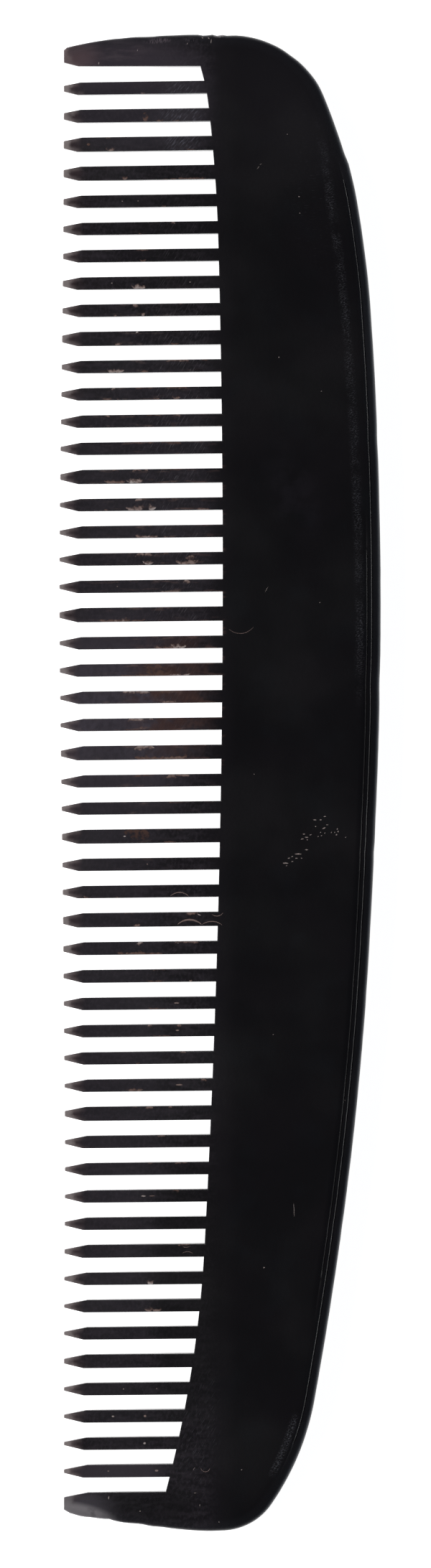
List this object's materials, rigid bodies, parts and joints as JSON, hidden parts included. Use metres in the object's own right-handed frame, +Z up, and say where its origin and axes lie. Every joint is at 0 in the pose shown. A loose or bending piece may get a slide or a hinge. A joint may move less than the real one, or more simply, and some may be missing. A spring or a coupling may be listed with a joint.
{
  "type": "horn comb",
  "caption": "Flat dressing comb cut from one plate of black horn, with an arched back, evenly sawn teeth and a stout guard tooth at each end.",
  "frame": {"origin": "under the middle of the comb, on the plane of its lower face", "axes": "+X from the tooth tips to the back, +Y along the comb to its upper end, +Z up through the plate"},
  "size_m": [0.0386, 0.1799, 0.004],
  "materials": {
    "black_horn": "hand-polished black horn, nearly opaque, browner and greyer where the teeth thin"
  },
  "bodies": {
    "root": {"plate": "black_horn", "teeth": "black_horn"}
  },
  "joints": []
}
